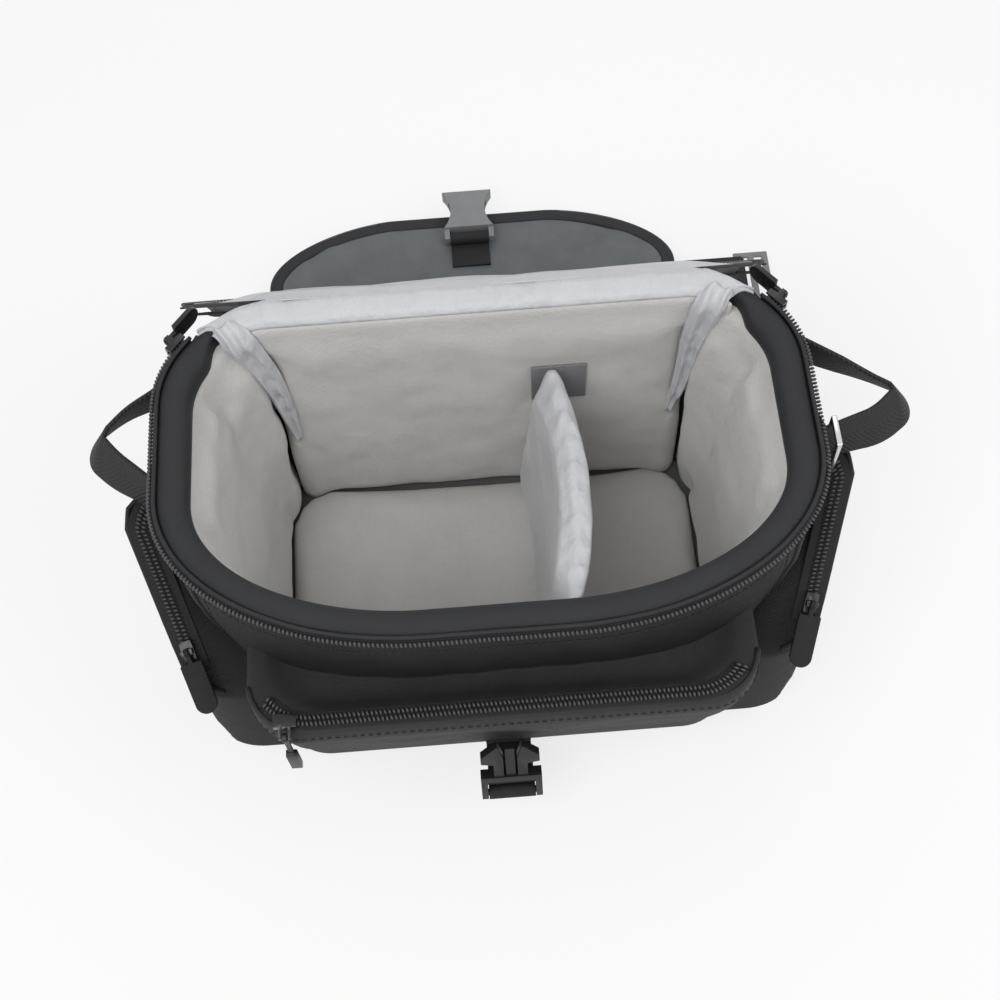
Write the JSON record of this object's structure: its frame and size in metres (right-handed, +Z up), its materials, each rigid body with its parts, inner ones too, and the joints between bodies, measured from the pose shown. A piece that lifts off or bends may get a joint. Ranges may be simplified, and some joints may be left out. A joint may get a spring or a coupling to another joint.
{
  "type": "camera shoulder bag",
  "caption": "Open padded camera shoulder bag with a zipped lid, a weather flap, one movable divider, front and side pockets, side loops, a strap and a side-release buckle.",
  "frame": {"origin": "middle of the base where the bag stands", "axes": "+X to the right seen from the front pocket, +Y to the back where the lid and flap hang, +Z up"},
  "size_m": [0.3294, 0.3338, 0.1545],
  "materials": {
    "shell_fabric": "black polyester weave",
    "trim_fabric": "dark grey smooth rim band",
    "lining": "light grey brushed tricot over foam",
    "satin": "light grey satin",
    "flap_lining": "dark blue-grey nylon",
    "webbing": "black woven webbing",
    "zip_tape": "black woven tape",
    "zip_coil": "black coil",
    "slider_metal": "black painted zinc",
    "pull_rubber": "black moulded pull",
    "buckle_plastic": "black acetal",
    "buckle_grey": "grey acetal",
    "ring_metal": "bright wire",
    "board": "stiff base board"
  },
  "bodies": {
    "bag": {"shell_front": "shell_fabric", "shell_back": "shell_fabric", "shell_left": "shell_fabric", "shell_right": "shell_fabric", "base_panel": "shell_fabric", "base_board": "board", "pad_floor": "lining", "pad_front": "lining", "pad_back": "lining", "pad_left": "lining", "pad_right": "lining", "rim_roll": "trim_fabric", "lining_gussets": "satin", "main_zip_tape": "zip_tape", "main_zip_teeth": "zip_coil", "lid_hinge_strip": "trim_fabric", "flap_seam_strip": "trim_fabric", "front_pocket": "shell_fabric", "front_zip_tape": "zip_tape", "front_zip_teeth": "zip_coil", "right_pocket": "shell_fabric", "right_zip_tape": "zip_tape", "right_zip_teeth": "zip_coil", "left_pocket": "shell_fabric", "left_zip_tape": "zip_tape", "left_zip_teeth": "zip_coil", "side_loop_right": "webbing", "side_loop_left": "webbing", "side_ring": "ring_metal", "strap_drop_left": "webbing", "strap_drop_right": "webbing", "strap_folded": "webbing", "strap_adjuster": "buckle_grey", "buckle_strap": "webbing"},
    "lid": {"lid_foam": "shell_fabric", "lid_lining": "satin", "lid_cover": "shell_fabric", "lid_zip_tape": "zip_tape", "lid_zip_teeth": "zip_coil"},
    "flap_spine": {"flap_spine": "flap_lining"},
    "flap_back": {"flap_back": "flap_lining"},
    "flap_mid": {"flap_mid": "flap_lining"},
    "flap_front": {"flap_front": "flap_lining", "flap_strap": "webbing"},
    "flap_buckle": {"buckle_female": "buckle_grey"},
    "front_buckle": {"buckle_male": "buckle_plastic"},
    "divider": {"divider_board": "satin", "divider_hooks": "trim_fabric"},
    "main_slider_left": {"main_slider_left": "slider_metal"},
    "main_pull_left": {"main_pull_left": "pull_rubber"},
    "left_slider": {"left_slider": "slider_metal"},
    "left_pull": {"left_pull": "webbing"},
    "main_slider_right": {"main_slider_right": "slider_metal"},
    "main_pull_right": {"main_pull_right": "pull_rubber"},
    "right_slider": {"right_slider": "slider_metal"},
    "right_pull": {"right_pull": "webbing"},
    "front_slider": {"front_slider": "slider_metal"},
    "front_pull": {"front_pull": "pull_rubber"}
  },
  "joints": [
    {"name": "lid_hinge", "type": "hinge", "parent": "bag", "child": "lid", "pos_m": [0, 0.082, 0.153], "axis": [1, 0, 0], "range_deg": [0, 235]},
    {"name": "flap_spine_hinge", "type": "hinge", "parent": "bag", "child": "flap_spine", "pos_m": [0, 0.085, 0.128], "axis": [1, 0, 0], "range_deg": [0, 175]},
    {"name": "flap_back_hinge", "type": "hinge", "parent": "flap_spine", "child": "flap_back", "pos_m": [0, 0.08809, 0.09263], "axis": [1, 0, 0], "range_deg": [0, 90]},
    {"name": "flap_mid_fold", "type": "hinge", "parent": "flap_back", "child": "flap_mid", "pos_m": [0, 0.09522, 0.0112], "axis": [1, 0, 0], "range_deg": [-85, 0]},
    {"name": "flap_front_fold", "type": "hinge", "parent": "flap_mid", "child": "flap_front", "pos_m": [0, 0.18497, 0.0112], "axis": [1, 0, 0], "range_deg": [0, 45]},
    {"name": "flap_buckle_hinge", "type": "hinge", "parent": "flap_front", "child": "flap_buckle", "pos_m": [0, 0.20447, 0.0165], "axis": [1, 0, 0], "range_deg": [0, 30]},
    {"name": "front_buckle_hinge", "type": "hinge", "parent": "bag", "child": "front_buckle", "pos_m": [0, -0.0982, 0.031], "axis": [1, 0, 0], "range_deg": [0, 60]},
    {"name": "divider_lift", "type": "slide", "parent": "bag", "child": "divider", "axis": [0, 0, -1], "range_m": [-0.14, 0]},
    {"name": "main_slider_right_run", "type": "hinge", "parent": "bag", "child": "main_slider_right", "pos_m": [0.085, 0.034, 0.15], "axis": [0, 0, 1], "range_deg": [-38, 0]},
    {"name": "main_pull_right_hinge", "type": "hinge", "parent": "main_slider_right", "child": "main_pull_right", "pos_m": [0.12586, 0.06592, 0.15], "axis": [0, 0, 1], "range_deg": [-120, 0]},
    {"name": "right_slider_run", "type": "slide", "parent": "bag", "child": "right_slider", "axis": [0.2938, 0.8412, 0.454], "range_m": [0, 0.04]},
    {"name": "right_pull_hinge", "type": "hinge", "parent": "right_slider", "child": "right_pull", "pos_m": [0.12664, -0.05077, 0.09969], "axis": [0.9559, -0.2585, -0.1395], "range_deg": [-120, 0]},
    {"name": "main_slider_left_run", "type": "hinge", "parent": "bag", "child": "main_slider_left", "pos_m": [-0.085, 0.034, 0.15], "axis": [0, 0, 1], "range_deg": [0, 38]},
    {"name": "main_pull_left_hinge", "type": "hinge", "parent": "main_slider_left", "child": "main_pull_left", "pos_m": [-0.12586, 0.06592, 0.15], "axis": [0, 0, 1], "range_deg": [0, 120]},
    {"name": "left_slider_run", "type": "slide", "parent": "bag", "child": "left_slider", "axis": [-0.2938, 0.8412, 0.454], "range_m": [0, 0.04]},
    {"name": "left_pull_hinge", "type": "hinge", "parent": "left_slider", "child": "left_pull", "pos_m": [-0.12664, -0.05077, 0.09969], "axis": [0.9559, 0.2585, 0.1395], "range_deg": [-120, 0]},
    {"name": "front_slider_run", "type": "slide", "parent": "bag", "child": "front_slider", "axis": [1, 0, 0], "range_m": [0, 0.17]},
    {"name": "front_pull_hinge", "type": "hinge", "parent": "front_slider", "child": "front_pull", "pos_m": [-0.085, -0.0946, 0.1154], "axis": [1, 0, 0], "range_deg": [-100, 0]}
  ],
  "couplings": [
    {"joint": "flap_spine_hinge", "follows": "lid_hinge", "ratio": 0.74468},
    {"joint": "flap_back_hinge", "follows": "lid_hinge", "ratio": 0.38297},
    {"joint": "flap_mid_fold", "follows": "lid_hinge", "ratio": -0.3617},
    {"joint": "flap_front_fold", "follows": "lid_hinge", "ratio": 0.19148}
  ]
}
